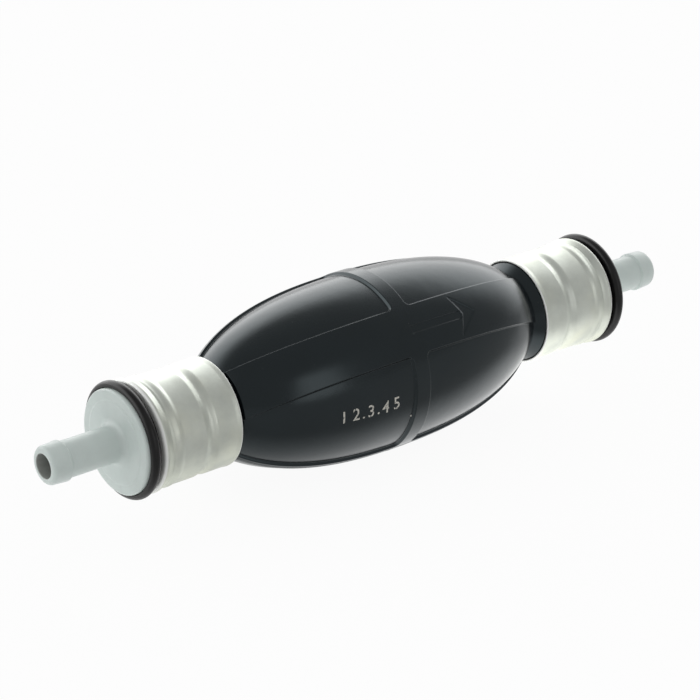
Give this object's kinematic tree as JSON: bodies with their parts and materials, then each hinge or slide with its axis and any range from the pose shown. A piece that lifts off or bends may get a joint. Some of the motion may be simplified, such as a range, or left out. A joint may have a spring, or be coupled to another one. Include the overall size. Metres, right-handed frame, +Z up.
{
  "type": "siphon bulb pump",
  "caption": "Hand-squeezed rubber bulb pump with hose fittings, crimped metal sleeves and one-way poppet valves that pass liquid one way.",
  "frame": {"origin": "midway between the tips on the pump's axis, which is the centre of its box", "axes": "+X along the flow, from the inlet to the outlet; +Z up, with the pump lying on its bulb; the thumb wall faces -Y"},
  "size_m": [0.1656, 0.0398, 0.0398],
  "materials": {
    "bulb_rubber": "satin black moulded rubber",
    "seal_rubber": "black nitrile rubber",
    "sleeve_metal": "satin drawn metal",
    "fitting_plastic": "pale grey-green nylon",
    "valve_plastic": "natural acetal",
    "spring_steel": "drawn stainless wire"
  },
  "bodies": {
    "root": {"bulb_shell": "bulb_rubber", "inlet_sleeve": "sleeve_metal", "inlet_collar_ring": "seal_rubber", "inlet_fitting": "fitting_plastic", "inlet_barrel_seal": "seal_rubber", "inlet_valve_seat": "valve_plastic", "inlet_spring": "spring_steel", "inlet_spring_retainer": "valve_plastic", "outlet_sleeve": "sleeve_metal", "outlet_collar_ring": "seal_rubber", "outlet_fitting": "fitting_plastic", "outlet_barrel_seal": "seal_rubber", "outlet_valve_seat": "valve_plastic", "outlet_spring": "spring_steel", "outlet_spring_retainer": "valve_plastic"},
    "thumb_wall": {"thumb_wall": "bulb_rubber"},
    "finger_wall": {"finger_wall": "bulb_rubber"},
    "inlet_poppet": {"inlet_poppet": "valve_plastic", "inlet_disc_seal": "seal_rubber"},
    "outlet_poppet": {"outlet_poppet": "valve_plastic", "outlet_disc_seal": "seal_rubber"}
  },
  "joints": [
    {"name": "thumb_wall_press", "type": "slide", "parent": "root", "child": "thumb_wall", "axis": [0, 0.9945, 0.1045], "range_m": [0, 0.006], "stiffness_N_per_m": 2500, "springref_m": -0.0006},
    {"name": "finger_wall_press", "type": "slide", "parent": "root", "child": "finger_wall", "axis": [0, -0.9945, -0.1045], "range_m": [0, 0.006], "stiffness_N_per_m": 2500, "springref_m": -0.0006},
    {"name": "inlet_poppet_lift", "type": "slide", "parent": "root", "child": "inlet_poppet", "axis": [1, 0, 0], "range_m": [0, 0.0025], "stiffness_N_per_m": 40, "springref_m": -0.003, "deforming": ["inlet_spring"]},
    {"name": "outlet_poppet_lift", "type": "slide", "parent": "root", "child": "outlet_poppet", "axis": [1, 0, 0], "range_m": [0, 0.0025], "stiffness_N_per_m": 40, "springref_m": -0.003, "deforming": ["outlet_spring"]}
  ],
  "couplings": [
    {"joint": "finger_wall_press", "follows": "thumb_wall_press", "ratio": 1}
  ]
}
